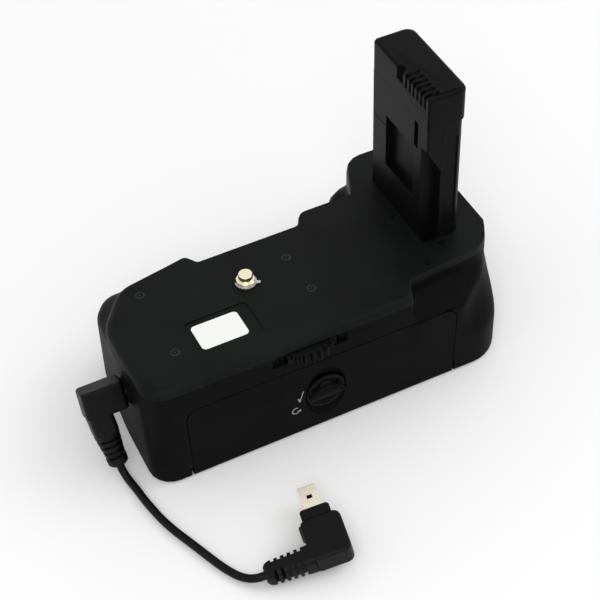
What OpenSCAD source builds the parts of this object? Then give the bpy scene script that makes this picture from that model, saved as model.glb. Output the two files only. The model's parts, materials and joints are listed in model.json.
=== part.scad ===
// Camera battery grip: a housing that screws under a camera, with a dummy pack that stands in the
// camera's battery bay, a drop-down door for two packs, and a short lead to the camera's socket.
// Millimetres. X runs to the right seen from behind, Y towards the lens side, Z up.
// The origin is on the camera screw's axis, in the plane of the base.

/* [Body] */
// Height of the plate above the base
plate_top = 43; // [41:0.5:46]
// Screw axis to the left end, at the rear
body_left = 49.4; // [48.5:0.1:54]
// How far the left end draws in towards the front
left_taper = 3.8; // [2:0.2:5]
// Screw axis to the right end, below the plate
body_right = 83.3; // [82:0.1:88]
// Screw axis to the rear face
body_rear = 33; // [33:0.1:35]
// How far the hand grip stands out in front of the lower front face
lobe_out = 11; // [9:0.5:14]
// Wall of the housing
wall = 2.4; // [2:0.1:2.8]
// Thickness of the top cover
cover_t = 3; // [2.6:0.1:3.4]
// Thickness of the base cover
base_t = 2.8; // [2.2:0.1:3]
// Rim of the housing around the base cover
base_rim = 3; // [2.5:0.5:3.5]
// Rounding of the bottom edge
foot_round = 0.9; // [0.6:0.1:1.5]
// Height of the crease across the rear face
crease_z = 20.5; // [18:0.5:23]
// How far the rear face leans in above the crease
rear_lean = 1; // [0.4:0.1:1.4]
// Rounding of the rear corners seen from above
rear_corner = 8; // [5:0.5:10]

/* [Thumb rest] */
// Screw axis to the ridge that starts the thumb rest
ridge_x = 47; // [44:0.5:52]
// Depth of the thumb rest behind the rear face
scoop_depth = 8.8; // [6:0.1:10]

/* [Lens recess] */
// Screw axis to the edge of the plate under the lens mount
recess_y = 16.8; // [15.5:0.1:18]
// Screw axis to the plate's front edge beside it
plate_front = 22.5; // [20:0.1:24]

/* [Battery door] */
// Width of the door
door_w = 98.5; // [94:0.5:100]
// Screw axis to the middle of the door
door_x = 12.25; // [11:0.25:13]
// Height of the door's top edge
door_top = 31; // [30:0.5:32]
// Thickness of the door
door_t = 2.8; // [2.6:0.1:3]
// Rounding of the door's upper corners
door_corner = 4; // [2:0.5:6]
// Radius of the barrel at the foot of the door
nose_r = 2.5; // [2.3:0.1:2.7]
// Seam around the door
seam = 0.3; // [0.2:0.05:0.5]

/* [Latch] */
// Height of the knob's axis
latch_z = 16; // [15:0.25:17]
// Radius of the knob
knob_r = 7; // [6:0.25:7.25]
// Height of the finger bar above the door's face
bar_h = 1.8; // [1.2:0.1:2.4]
// Width of the finger bar
bar_w = 3.4; // [2.8:0.1:4]
// Depth of the finger hollow around the knob
hollow_depth = 1.6; // [1.2:0.1:1.8]

/* [Packs] */
// Width of one pack pocket
pack_w = 36.8; // [35:0.1:37]
// Height of one pack pocket
pack_h = 14.8; // [14:0.1:15.2]
// Depth of one pack pocket
pack_d = 53; // [50:0.5:58]
// Height of the pocket's floor
pack_z = 10.2; // [10:0.1:10.4]

/* [Screw drive] */
// Tooth size of the wheel and its gear, as pitch diameter per tooth
tooth_m = 0.85; // [0.84:0.01:0.86]
// Teeth on the thumbwheel
wheel_teeth = 28; // [28:1:29]
// Teeth on the camera screw's gear
gear_teeth = 30; // [29:1:30]
// Screw axis to the middle of the thumbwheel, along X
wheel_x = 7.3; // [6.5:0.1:8]
// Thickness of the wheel and the gear
gear_t = 3.4; // [3:0.1:3.5]
// Radius of the camera screw's thread
screw_r = 3.15; // [3:0.05:3.2]
// Height of the camera screw above the plate
screw_up = 4.5; // [4:0.1:5]

/* [Insert] */
// Thickness of the dummy pack
insert_t = 13.7; // [12.5:0.1:14.2]
// Width of the dummy pack
insert_w = 36.8; // [34:0.1:38]
// Height of the dummy pack above the plate
insert_h = 60.4; // [56:0.1:62]
// Screw axis to the dummy pack's left face
insert_x = 60.9; // [60:0.1:61.4]
// Screw axis to the dummy pack's near face, towards the rear
insert_y = 10.9; // [10:0.1:11.4]
// Height of the dummy pack's head
head_h = 12; // [9:0.5:14]
// Thickness of the dummy pack's left shell
shell_t = 5.4; // [4:0.1:6]

/* [Release button] */
// Radius of the button
button_r = 5; // [4:0.25:5.5]
// Travel of the button
button_travel = 0.8; // [0.5:0.1:1]
// Height of the button's axis
button_z = 18; // [16:0.5:20]

/* [Lead] */
// Height of the jack's axis
jack_z = 26.3; // [26:0.1:27]
// Screw axis to the jack's axis, towards the rear
jack_y = 10.5; // [10:0.1:11]
// Tilt of the jack plug's arm towards the rear
arm_tilt = 26; // [20:1:28]
// Diameter of the cord
cord_d = 2.7; // [2.4:0.1:3]
// Turn of the camera plug on the table
plug_turn = -11; // [-13:0.5:-10]

/* [Hidden] */
$fn = 64;

// Colours
shell_black = "#1b1b1b";
satin_black = "#262626";
foam_grey = "#3a3a3c";
nickel = "#d9d2b8";
gold = "#d8c27a";
steel = "#8f9296";
board_green = "#20503a";

// Clearances
run = 0.05;
slip = 0.02;
sunk = 0.05;
loose = 0.3;
over = 1;

// Heights worked out from the body
cover_z = plate_top - cover_t;
deck_t = 2;
deck_top = door_top + 0.8;
deck_z = deck_top - deck_t;
tray_lid = 1.2;
bay_top = pack_z + pack_h + tray_lid;
bay_roof = bay_top + loose;
slope_z = bay_roof - 0.5;
slope_top = 37;
edge_h = cover_t;

// Door, tray and front wall, from the rear to the front
hinge_y = nose_r - body_rear;
door_in = door_t - body_rear;
cam_t = 1.2;
cam_y = door_in + loose;
bezel_y = cam_y + cam_t + loose;
bezel_t = 1.2;
tray_back = 1.2;
board_t = 1;
board_room = 1.8;
bay_back = bezel_y + pack_d;
bay_end = bay_back + tray_back;
body_front = bay_end + board_t + board_room + wall;
lobe_front = body_front + lobe_out;

// Plan sizes worked out from the body
plate_left = body_left - 0.3;
plate_right = body_right + 2.4;
lobe_plate = lobe_front - 2.5;
scoop_y = body_rear - scoop_depth;
// The thumb rest starts above the door, and reaches lower beyond the door's end
scoop_low = door_top + 0.4;
scoop_x = door_x + door_w / 2 + 3;
right_corner = 14;
lobe_corner = 18;
left_front = left_taper - body_left;
left_mid = 0.4 - body_left;
waist_y = 4;
flank_top = 32;
// Share of a rounding that lies between the two corners that stand for it, and the reach of each
part_in = 0.586;
part_reach = 0.4;

// Outline corners of the body, counter-clockwise from the near left corner:
// low place, plate place, low reach, plate reach, height where it starts to rise, height where
// it ends, width of the rounded top edge, 1 for a straight rise or 0 for an eased one, and the
// number of steps in its rounding
corners = [
    [[-body_left, -body_rear], [-plate_left, rear_lean - body_rear],
        rear_corner, rear_corner, crease_z, plate_top, 3.6, 1, 5],
    [[ridge_x - 1.5, -body_rear], [ridge_x - 1.5, rear_lean - body_rear],
        1, 1.4, crease_z, plate_top, 2.6, 1, 2],
    [[ridge_x + 1.5, -body_rear], [ridge_x + 1.5, -scoop_y],
        1, 1.5, scoop_low, slope_top - 0.5, 0.6, 0, 2],
    [[scoop_x, -body_rear], [scoop_x, 1.6 - scoop_y], 2, 2, scoop_low, slope_top - 0.5, 0.4, 0, 2],
    [[body_right - part_in * right_corner, -body_rear], [plate_right - 6.7, 3.1 - scoop_y],
        part_reach * right_corner, 5, 14, 35, 0.3, 0, 4],
    [[body_right, part_in * right_corner - body_rear], [plate_right, 15.2 - scoop_y],
        part_reach * right_corner, 5, 14, 35, 0.3, 0, 4],
    [[body_right, lobe_front - part_in * lobe_corner], [plate_right, lobe_plate - 9.5],
        part_reach * lobe_corner, 6, slope_z, slope_top, 0.8, 0, 4],
    [[body_right - part_in * lobe_corner, lobe_front], [plate_right - 9.2, lobe_plate],
        part_reach * lobe_corner, 6, slope_z, slope_top, 0.8, 0, 4],
    [[body_right - 30.8, lobe_front], [plate_right - 28, lobe_plate],
        4.5, 5, slope_z, flank_top, 0.8, 0, 3],
    [[body_right - 37.3, body_front], [plate_right - 35.3, plate_front],
        4, 1.5, slope_z, flank_top, 0.8, 0, 3],
    [[30.5, body_front], [30.5, plate_front], 1, 2, slope_z, slope_top, 0.8, 0, 2],
    [[27.3, body_front], [27.3, recess_y], 1, 1.5, slope_z, slope_top, 0.5, 0, 2],
    [[-9.8, body_front], [-9.8, recess_y], 1, 0.8, slope_z, slope_top, 0.5, 0, 2],
    [[-12.5, body_front], [-12.5, plate_front - 0.9], 1, 1.6, slope_z, slope_top, 1, 0, 2],
    [[left_front + 6.1, body_front], [left_front + 7.1, plate_front - 4.6],
        3.6, 4.5, slope_z, slope_top, 2.4, 0, 4],
    [[left_front, body_front - 6.5], [0.3 - plate_left, plate_front - 17.8],
        4.6, 4.5, slope_z, slope_top, 3.6, 0, 4],
    [[left_mid, -waist_y], [0.1 - plate_left, -waist_y], 8, 3.5, slope_z, slope_top, 3.6, 0, 3]];

// Heights of the housing's and the cover's sections; the ends stand proud and are cut off flat
foot_levels = [-0.4, each [for (a = [60, 30, 0]) foot_round * (1 - sin(a))]];
wall_levels = [14, 17, crease_z, 23, slope_z, 28, 29.5, 31, 32.5, 34, 35.5, slope_top, cover_z + 0.6];
edge_levels = [cover_z - 0.6, cover_z + 0.1,
    each [for (a = [18, 36, 54, 70]) cover_z + edge_h * sin(a)], plate_top + 0.4];

// Door and hinge
hinge_z = nose_r + 0.1;
hinge_r = 0.8;
door_left = door_x - door_w / 2;
door_right = door_x + door_w / 2;
door_taper = 0.6;
pin_half = 4.5;

// Latch, seen along Y
latch_x = door_x;
well_floor = -body_rear + 1.7;
knob_shaft_r = 2.2;
cam_w = 5;
cam_reach = door_top + 2.3 - latch_z;
latch_screw_r = 0.9;
dish_half = 11.3;
dish_sides = 40;
// Depth of each section of the dish, from the floor outwards, and how far it is drawn in
dish_steps = [[-hollow_depth, 1.5], [0.4 - hollow_depth, 0.8], [1 - hollow_depth, 0.4], [0.3, -0.1]];

// Battery bay
bay_wall = 1.6;
divider = 2;
bay_left = door_x - divider / 2 - pack_w - bay_wall;
bay_right = door_x + divider / 2 + pack_w + bay_wall;
bay_bottom = pack_z - bay_wall;
bay_limit = 57;
bezel_left = door_left + 3.4;
ledge = 1.6;
contact_up = 1.6;
contact_pitch = pack_w / 6;
contact_w = 1.6;
contact_h = pack_h * 0.3;
contact_z = pack_z + pack_h * 0.29;
leaf = 0.4;

// Screw drive
wheel_r = tooth_m * wheel_teeth / 2;
gear_r = tooth_m * gear_teeth / 2;
drive_span = wheel_r + gear_r + 0.06;
wheel_y = -sqrt(drive_span * drive_span - wheel_x * wheel_x);
gear_z = cover_z - 0.6 - gear_t;
hub_z = gear_z - 2.4;
axle_r = 1.5;
journal_r = 2;
tip_r = screw_r - 0.7;
tip_h = 2.2;
slot_half = 13.4;
slot_deep = 1.8;

// Cover screws: place of each, and how its post stands
cover_screw_at = [[-33, 11.4], [-33, -17.2], [17, 4.6], [18, -12.2], [57.4, 5.3], [66, -13.9],
    [57.2, -19.9]];
cover_screw_r = 0.9;
cover_head_r = 1.7;
cover_head_t = 0.9;
cover_screw_l = 9;
post_r = 1.7;
function in_flange(p) = p[0] > bay_limit - 1 && p[1] > -17;

// Base screws, in the thick foot of the housing
foot_wall = 7.6;
screw_in = 5.3;
corner_in = 0.29 * right_corner + 0.71 * screw_in;
base_screw_at = [[left_wall(-14) + screw_in, -14], [-31, body_front - 5.6], [35, body_front - screw_in],
    [64, lobe_front - screw_in], [body_right - screw_in, 2],
    [body_right - corner_in, corner_in - body_rear]];
base_screw_r = 1;
base_head_r = 1.9;
base_head_t = 1;
base_screw_l = 7;

// Tripod bush
bush_r = 5;
bush_flange_r = 6.5;
bush_flange_t = 1.4;
bush_top = 6.6;
bush_bore = 2.6;
bush_depth = 5.8;

// Insert
insert_right = insert_x + insert_t;
insert_far = insert_w - insert_y;
insert_top = plate_top + insert_h;
head_z = insert_top - head_h;
insert_round = 3;
flange_t = 3;
flange_z = cover_z - flange_t;
flange_out = 5;
slot_pitch = 2.4;
slot_w = 1.3;
slot_first = 2;
blade_deep = 5;
cut_deep = 4;
cut_low = 29.8;
cut_rise = 1.78;

// Release button, on the hidden corner of the hand grip
corner_c = [body_right - lobe_corner, lobe_front - lobe_corner];
button_turn = 45;
collar_out = button_r + 1.9;
collar_deep = 2.2;
button_stem_r = 2.2;
button_stem = 6;
button_boss = 11.3;
switch_half = 3;
switch_t = 3;

// Lead
jack_r = 4;
jack_bore = 2.1;
jack_deep = 11;
jack_x = left_wall(-jack_y);
jack_in = jack_x + 4.8;
jack_seat = 0.5;
jack_half = 5;
plug_face = 0.6;
arm_x = 10.9;
arm_end = 23.2;
arm_lean = 5.6;
arm_w = 8.4;
rib_count = 4;
plug_z = 4;
plug_at = [-33.4, -81.4, -0.4];
plug_roll = 10.5;

// Route of the cord's centre line, from the jack plug's sleeve to the camera plug's sleeve
cord_route = [[-57.81, -20.27, 6.27], [-57.6, -21.15, 4.55], [-57.25, -22.7, 2.7], [-56.9, -24.7, 1.7],
    [-56.5, -27, 1.35], [-56.1, -29.5, 1.35], [-55.75, -32.2, 1.35], [-55.3, -35.8, 1.35],
    [-54.6, -39.8, 1.35], [-53.8, -43.8, 1.35], [-52.7, -47.9, 1.35], [-51.2, -52.4, 1.35],
    [-49.4, -57, 1.35], [-47.7, -61.4, 1.35], [-46.1, -65.6, 1.35], [-44.5, -69.6, 1.35],
    [-42.8, -73.3, 1.4], [-40.9, -76.6, 1.65], [-38.8, -79.1, 2.2], [-36.6, -80.65, 2.9],
    [-34.9, -81.2, 3.4], [-33.33, -81.45, 3.68]];
cord_in = 1.4;
cord_hole = cord_d / 2 + loose;
cord_sides = 8;

// Small functions
function unit(v) = v / norm(v);
function left_wall(y) = mix(-body_left, left_mid, (y + body_rear) / (body_rear - waist_y));
function mix(a, b, t) = a + (b - a) * t;
function held(t) = min(max(t, 0), 1);
function eased(t) = let (h = held(t)) h * h * (3 - 2 * h);
function quarter(t) = 1 - sqrt(1 - held(t) * held(t));
function turned(p, a) = [p[0] * cos(a) - p[1] * sin(a), p[0] * sin(a) + p[1] * cos(a)];

// Points of one rounded corner: a circular arc, as a weighted curve from reach before to reach after
function rounded(before, at, after, reach, steps) =
    let (d1 = unit(before - at), d2 = unit(after - at))
    let (a = at + reach * d1, b = at + reach * d2, w = sqrt(max((1 - d1 * d2) / 2, 0.01)))
    [for (i = [0:steps]) let (s = i / steps)
        let (wa = (1 - s) * (1 - s), wm = 2 * s * (1 - s) * w, wb = s * s)
        (wa * a + wm * at + wb * b) / (wa + wm + wb)];

// A closed outline with every corner rounded, in one number of steps or in a number for each corner
function ring(points, reaches, steps) =
    let (n = len(points))
    [for (k = [0:n - 1])
        each rounded(points[(k + n - 1) % n], points[k], points[(k + 1) % n], reaches[k],
            is_list(steps) ? steps[k] : steps)];

function box_ring(x0, x1, y0, y1, r, steps = 4) =
    ring([[x0, y0], [x1, y0], [x1, y1], [x0, y1]], [r, r, r, r], steps);

// Move a corner of an outline inwards
function drawn_in(points, k, d) =
    let (n = len(points), p = points[k])
    let (e1 = unit(p - points[(k + n - 1) % n]), e2 = unit(points[(k + 1) % n] - p))
    let (n1 = [-e1[1], e1[0]], n2 = [-e2[1], e2[0]])
    p + d * (n1 + n2) / (1 + n1 * n2);

// How far a corner of the body has risen from its low place to its plate place
function risen(c, z) =
    let (t = (z - c[4]) / (c[5] - c[4]))
    c[7] == 1 ? held(t) : eased(t);

// The body's outline at a height, drawn in by an inset; inside, each corner is one flat
function body_ring(z, inset = 0) =
    let (places = [for (c = corners) mix(c[0], c[1], risen(c, z))])
    let (foot = foot_round * quarter((foot_round - z) / foot_round))
    let (lip = quarter((z - plate_top + edge_h) / edge_h))
    let (insets = [for (c = corners) inset + foot + lip * c[6]])
    let (moved = [for (k = [0:len(places) - 1]) drawn_in(places, k, insets[k])])
    let (reaches = [for (k = [0:len(places) - 1])
        max(mix(corners[k][2], corners[k][3], risen(corners[k], z)) - 0.45 * insets[k], 0.3)])
    ring(moved, reaches, inset > 0 ? 1 : [for (c = corners) c[8]]);

function lifted(points, z) = [for (p = points) [p[0], p[1], z]];

// A solid through a stack of outlines with the same number of points
module loft(rings) {
    n = len(rings[0]);
    m = len(rings);
    sides = [for (r = [0:m - 2], k = [0:n - 1])
        let (a = r * n + k, b = r * n + (k + 1) % n)
        each [[a, b + n, b], [a, a + n, b + n]]];
    polyhedron(points = [for (r = rings) each r],
        faces = [[for (k = [0:n - 1]) k], each sides, [for (k = [n - 1:-1:0]) (m - 1) * n + k]]);
}

// A box with rounded uprights and rounded top and bottom edges
module soft_box(x0, x1, y0, y1, z0, z1, r, e) {
    steps = [0, 35, 65, 90];
    heights = [for (a = steps) [z0 + e * (1 - sin(90 - a)), e * (1 - sin(a))]];
    tops = [for (i = [len(steps) - 1:-1:0]) [z0 + z1 - heights[i][0], heights[i][1]]];
    loft([for (h = concat(heights, tops))
        lifted(box_ring(x0 + h[1], x1 - h[1], y0 + h[1], y1 - h[1], max(r - h[1], 0.3), 3), h[0])]);
}

module block(x0, x1, y0, y1, z0, z1) {
    translate([x0, y0, z0]) cube([x1 - x0, y1 - y0, z1 - z0]);
}

module rod(at, r, z0, z1) {
    translate([at[0], at[1], z0]) cylinder(r = r, h = z1 - z0);
}

// A rod along X or along Y
module rod_x(y, z, r, x0, x1) {
    translate([x0, y, z]) rotate([0, 90, 0]) cylinder(r = r, h = x1 - x0);
}

module rod_y(x, z, r, y0, y1) {
    translate([x, y0, z]) rotate([-90, 0, 0]) cylinder(r = r, h = y1 - y0);
}

// A countersunk screw that points down from its head's top
module flat_screw(head_r, head_t, shank_r, length) {
    rotate_extrude() polygon([[0, 0], [head_r, 0], [shank_r, -head_t], [shank_r, -length], [0, -length]]);
}

// The hole for such a screw
module flat_screw_hole(head_r, head_t, shank_r, length) {
    rotate_extrude() polygon([[0, over], [head_r + slip, over], [head_r + slip, 0],
        [shank_r + slip, -head_t], [shank_r + slip, -length], [0, -length]]);
}

// Gear outline: involute flanks between root and tip circles
function flank(base_r, r) = let (c = min(base_r / r, 1)) tan(acos(c)) * 180 / PI - acos(c);
function gear_points(teeth, phase) =
    let (pitch = tooth_m * teeth / 2, base = pitch * cos(20))
    let (tip = pitch + 0.9 * tooth_m, root = pitch - 1.15 * tooth_m)
    let (half = 90 / teeth - 0.09 * 180 / PI / pitch + flank(base, pitch))
    let (radii = [max(root, base * 1.001), mix(base, tip, 0.45), mix(base, tip, 0.75), tip])
    [for (t = [0:teeth - 1]) let (mid = phase + t * 360 / teeth)
        each concat([root * [cos(mid - half - 1), sin(mid - half - 1)]],
            [for (r = radii) r * [cos(mid - half + flank(base, r)), sin(mid - half + flank(base, r))]],
            [for (i = [3:-1:0]) let (r = radii[i])
                r * [cos(mid + half - flank(base, r)), sin(mid + half - flank(base, r))]],
            [root * [cos(mid + half + 1), sin(mid + half + 1)]])];

// Direction from the wheel's axle to the camera screw, for the teeth's phase
mesh_turn = atan2(-wheel_y, -wheel_x);

// A tube swept along a list of points
function tangent(path, i) = unit(path[min(i + 1, len(path) - 1)] - path[max(i - 1, 0)]);
function across(t) = unit(cross(t, abs(t[2]) > 0.7 ? [1, 0, 0] : [0, 0, 1]));
function tube_ring(at, side, t, r, sides) =
    let (other = cross(side, t))
    [for (k = [0:sides - 1]) let (a = 360 * k / sides) at + r * (cos(a) * side + sin(a) * other)];
// Sides carried along the path without twist
function sides_along(path, i = 0, last = undef) =
    i == len(path) ? [] :
    let (t = tangent(path, i), s = i == 0 ? across(t) : unit(last - (last * t) * t))
    concat([s], sides_along(path, i + 1, s));

// The solid of the whole body between two heights
module body_solid(levels, z0, z1) {
    intersection() {
        loft([for (z = levels) lifted(body_ring(z), z)]);
        block(-body_left - over, body_right + over, -body_rear - over, lobe_front + over, z0, z1);
    }
}

module housing_form() {
    body_solid(concat(foot_levels, wall_levels), 0, cover_z);
}

// The door's outline in the rear wall, grown by a gap, as a prism along Y
module door_prism(gap, y0, y1, bottom) {
    top = door_top + gap;
    translate([0, y1, 0]) rotate([90, 0, 0]) linear_extrude(y1 - y0)
        polygon(ring([[door_left + door_taper - gap, bottom], [door_right - door_taper + gap, bottom],
            [door_right + gap, top], [door_left - gap, top]], [0.3, 0.3, door_corner, door_corner], 5));
}

// The outline of the space for the tray, with the release button's corner cut off
function bay_ring() =
    let (left = wall - body_left, rear = wall - body_rear, front = body_front - wall)
    let (right = body_right - 6.5, lobe = lobe_front - 6, step = scoop_depth + 6 - body_rear)
    let (cut = 2 * lobe_corner - 12.5 - sqrt(2) * (lobe_corner - button_boss))
    ring([[left, rear], [bay_limit, rear], [bay_limit, step], [right, step], [right, lobe],
        [body_right - 26, lobe], [body_right - 32, front], [left + left_taper + 0.4, front]],
        [6, 1, 1, 3, cut, 3, 1, 13], 1);

// The spaces inside the housing: under the tray, for the tray, under the deck and for the drive
module inner_spaces() {
    translate([0, 0, base_t - over]) linear_extrude(bay_bottom - base_t + 1.5 * over)
        polygon(body_ring(10, foot_wall));
    translate([0, 0, bay_bottom]) linear_extrude(bay_roof - bay_bottom) polygon(bay_ring());
    translate([0, 0, bay_roof - over]) linear_extrude(deck_z - bay_roof + over)
        polygon(body_ring(slope_top, wall + ledge));
    translate([0, 0, deck_z]) linear_extrude(plate_top - deck_z) polygon(body_ring(slope_top, wall));
}

// Move to the release button's axis, with Z outwards and zero on the corner's face
module button_frame() {
    translate([corner_c[0], corner_c[1], button_z]) rotate([0, 0, button_turn])
        translate([lobe_corner, 0, 0]) rotate([0, 90, 0]) children();
}

module main_housing() {
    color(shell_black) difference() {
        housing_form();
        inner_spaces();
        // Seat of the base cover
        intersection() {
            translate([0, 0, -over]) linear_extrude(base_t + over) polygon(body_ring(10, base_rim));
            block(-body_left, body_right, nose_r * 2 + seam - body_rear, lobe_front,
                -2 * over, plate_top);
        }
        // Opening for the door, with room for its nose and for the tray's front
        door_prism(seam, -body_rear - over, door_in + 0.9, -over);
        block(door_left - seam, door_right + seam, -body_rear - over, hinge_y + nose_r + seam,
            -over, hinge_z + nose_r + seam);
        block(door_left + 3, bay_limit - 0.2, -body_rear - over, bezel_y + bezel_t + 0.2,
            hinge_z, deck_z + 0.2);
        latch_notch();
        // Slot for the thumbwheel
        rod([wheel_x, wheel_y], wheel_r + tooth_m + 0.4, gear_z - 0.4, plate_top);
        block(wheel_x - slot_half, wheel_x + slot_half, -body_rear - over, slot_deep - body_rear,
            gear_z - 0.4, plate_top);
        // Holes
        for (p = base_screw_at) rod(p, base_screw_r + slip, -over, base_screw_l + 0.4);
        for (x = [door_left, door_right])
            rod_x(hinge_y, hinge_z, hinge_r + slip, x - pin_half - 0.2, x + pin_half + 0.2);
        rod_x(-jack_y, jack_z, jack_r + slip, -body_left - over, jack_in);
        rod_x(-jack_y, jack_z, jack_r + 0.8 + slip, -body_left - over, jack_x + jack_seat);
        button_frame() {
            translate([0, 0, -collar_deep]) cylinder(r = collar_out + slip, h = collar_deep + over);
            translate([0, 0, -button_boss - over]) cylinder(r = button_r + 1, h = button_boss);
        }
    }
}

// Room for the latch's tongue behind the lip above the door
module latch_notch() {
    block(latch_x - cam_reach * 0.7, latch_x + cam_w, cam_y - 0.4, bezel_y + 0.4, deck_z - over,
        latch_z + cam_reach + 0.7);
}

// The floor of the drive's space, with the posts for the cover's screws, the axle and the screw
module inner_deck() {
    color(satin_black) difference() {
        union() {
            translate([0, 0, deck_z]) linear_extrude(deck_t) polygon(body_ring(slope_top, wall + 0.7));
            intersection() {
                for (p = cover_screw_at) rod(p, post_r, deck_z, in_flange(p) ? flange_z : cover_z);
                translate([0, 0, deck_z]) linear_extrude(plate_top)
                    polygon(body_ring(slope_top, wall + 0.4));
            }
            rod([wheel_x, wheel_y], axle_r + 1.6, deck_z, hub_z - loose);
            rod([0, 0], journal_r + 2, deck_z, hub_z - loose);
        }
        latch_notch();
        rod_x(-jack_y, jack_z, jack_r + loose, jack_x, jack_in + 0.5 + loose);
        for (p = cover_screw_at) rod(p, cover_screw_r + slip, plate_top - cover_screw_l - 0.4, plate_top);
        rod([wheel_x, wheel_y], axle_r + slip, deck_z - over, plate_top);
        rod([0, 0], journal_r + run, deck_z - over, plate_top);
    }
}

module top_cover() {
    label = [-26.2, -3.7, -22, -7.3];
    label_deep = 0.4;
    color(shell_black) difference() {
        body_solid(edge_levels, cover_z, plate_top);
        rod([0, 0], screw_r + 0.3, cover_z - over, plate_top + over);
        rod([wheel_x, wheel_y], axle_r + slip, cover_z - over, cover_z + 1.4);
        translate([0, 0, plate_top - label_deep]) linear_extrude(label_deep + over)
            polygon(box_ring(label[0], label[1], label[2], label[3], 1.6));
        for (p = cover_screw_at) translate([p[0], p[1], plate_top - sunk])
            flat_screw_hole(cover_head_r, cover_head_t, cover_screw_r, cover_t + over);
        translate([0, 0, cover_z - over]) linear_extrude(cover_t + 2 * over) insert_plan(loose / 2);
    }
}

module base_cover() {
    bottom_gap = 0.15;
    color(shell_black) difference() {
        union() {
            intersection() {
                linear_extrude(base_t) polygon(body_ring(10, base_rim + bottom_gap));
                block(-body_left, body_right, nose_r * 2 + 2 * seam - body_rear, lobe_front,
                    0, plate_top);
            }
            rod([0, 0], bush_r + 2, 0, bush_top - 0.4);
            for (y = [bezel_y + 6, bay_back - 8])
                block(bay_left + 6, bay_right - 6, y, y + 1.6, base_t - 0.2, bay_bottom);
        }
        rod([0, 0], bush_r + slip, -over, plate_top);
        rod([0, 0], bush_flange_r + slip, -over, bush_flange_t);
        for (p = base_screw_at) translate([p[0], p[1], sunk]) rotate([180, 0, 0])
            flat_screw_hole(base_head_r, base_head_t, base_screw_r, base_t + over);
    }
}

module cover_screws() {
    color(satin_black) for (p = cover_screw_at) translate([p[0], p[1], plate_top - sunk])
        cross_screw(cover_head_r, cover_head_t, cover_screw_r, cover_screw_l);
}

module base_screws() {
    color(satin_black) for (p = base_screw_at) translate([p[0], p[1], sunk]) rotate([180, 0, 0])
        cross_screw(base_head_r, base_head_t, base_screw_r, base_screw_l);
}

// A countersunk screw with a cross recess
module cross_screw(head_r, head_t, shank_r, length) {
    difference() {
        flat_screw(head_r, head_t, shank_r, length);
        for (a = [0, 90]) rotate([0, 0, a])
            block(-head_r * 0.6, head_r * 0.6, -0.2, 0.2, -head_t * 0.7, over);
    }
}

// The dummy pack's section: its far corners and right-hand corners are rounded
module insert_plan(gap) {
    polygon(ring([[insert_x - gap, -insert_y - gap], [insert_right + gap, -insert_y - gap],
        [insert_right + gap, insert_far + gap], [insert_x - gap, insert_far + gap]],
        [0.6, insert_round, insert_round, 1.2], 4));
}

module insert_stem() {
    part_x = insert_x + shell_t;
    color(satin_black) difference() {
        union() {
            intersection() {
                translate([0, 0, cover_z - 0.2]) linear_extrude(head_z - cover_z + 0.2) insert_plan(0);
                block(part_x, insert_right, -insert_y, insert_far, 0, insert_top);
            }
            translate([0, 0, flange_z]) linear_extrude(flange_t) polygon(flange_ring());
        }
        for (p = [for (s = cover_screw_at) if (in_flange(s)) s])
            rod(p, cover_screw_r + slip, flange_z - over, cover_z + over);
        // Sunk panels on the two narrow faces
        block(part_x + 1.2, insert_right - 2.4, -insert_y - over, 0.6 - insert_y, cover_z + 8, head_z - 6);
        block(part_x + 1.2, insert_right - 2.4, insert_far - 0.6, insert_far + over, cover_z + 8, head_z - 6);
    }
}

// The foot of the dummy pack under the cover, out to the two screws that hold it
function flange_ring() =
    let (ear = cover_screw_at[4], tail = cover_screw_at[5], side = 2.8)
    let (right = insert_right + flange_out, far = insert_far + 2)
    ring([[ear[0] - side, ear[1] - side - 1], [insert_x - loose, ear[1] - side - 1],
        [insert_x - loose, tail[1] - side], [insert_right + 2, tail[1] - side], [right, far],
        [insert_x - 2, far], [ear[0] - side, ear[1] + side + 1]],
        [1.5, 0.6, 1.5, 2, 3, 3, 2], 3);

module insert_cover() {
    part_x = insert_x + shell_t;
    pocket = [8.7 - insert_y, insert_far - 9.8];
    pocket_z = [plate_top + 14.2, plate_top + 35.3];
    slit = [6.3 - insert_y, 8.6 - insert_y];
    line_z = plate_top + 30.6;
    cut_w = shell_t - 0.2;
    color(satin_black) difference() {
        intersection() {
            translate([0, 0, cover_z]) linear_extrude(head_z - cover_z) insert_plan(0);
            block(insert_x - over, part_x, -insert_y - over, insert_far + over, 0, insert_top);
        }
        block(insert_x - over, insert_x + 2.6, pocket[0], pocket[1], pocket_z[0], pocket_z[1]);
        block(insert_x - over, insert_x + 3, slit[0], slit[1],
            pocket_z[1] + 1.3, pocket_z[1] + 11.7);
        // Shallow line from the pocket to the far edge
        block(insert_x - over, insert_x + 0.3, pocket[1], insert_far + over, line_z, line_z + 0.3);
        // The near corner is cut back below a slope, to clear the catch in the camera
        translate([insert_x + cut_w, cut_deep - insert_y, 0]) rotate([90, 0, 0])
            linear_extrude(cut_deep + over) polygon([[0, cover_z - over], [0, plate_top + cut_low],
                [-cut_w - over, plate_top + cut_low + cut_rise * (cut_w + over)],
                [-cut_w - over, cover_z - over]]);
    }
}

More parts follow.
